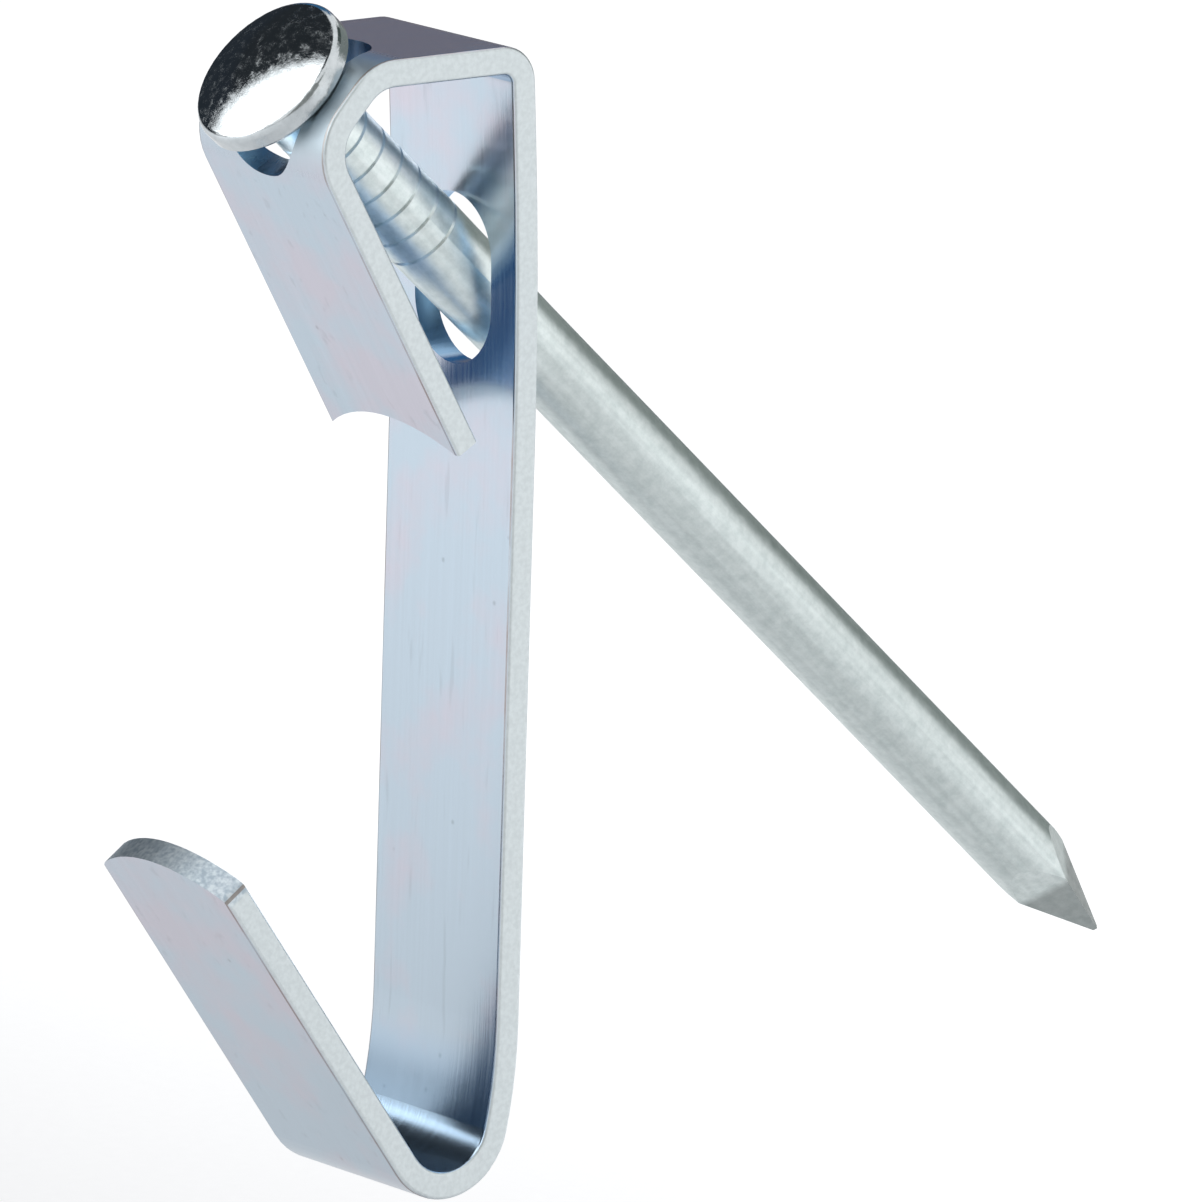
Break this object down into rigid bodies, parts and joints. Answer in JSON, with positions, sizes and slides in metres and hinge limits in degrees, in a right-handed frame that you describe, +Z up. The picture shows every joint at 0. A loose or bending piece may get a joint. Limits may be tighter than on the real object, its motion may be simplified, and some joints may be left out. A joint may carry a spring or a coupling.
{
  "type": "picture hook",
  "caption": "Folded steel strip picture hook with a hanging prong at its foot and a guide flap at the top; a headed nail slants down through slots in its bevel and back plate.",
  "frame": {"origin": "middle of the strip's flat back face, where it lies against the wall", "axes": "+X across the strip, +Y into the wall, +Z up the wall"},
  "size_m": [0.0064, 0.0369, 0.0365],
  "materials": {
    "strip_zinc": "bright zinc plate with a pale blue passivate on slit steel strip",
    "nail_zinc": "dull zinc plate on drawn steel wire"
  },
  "bodies": {
    "root": {"hook_strip": "strip_zinc", "nail": "nail_zinc"}
  },
  "joints": []
}
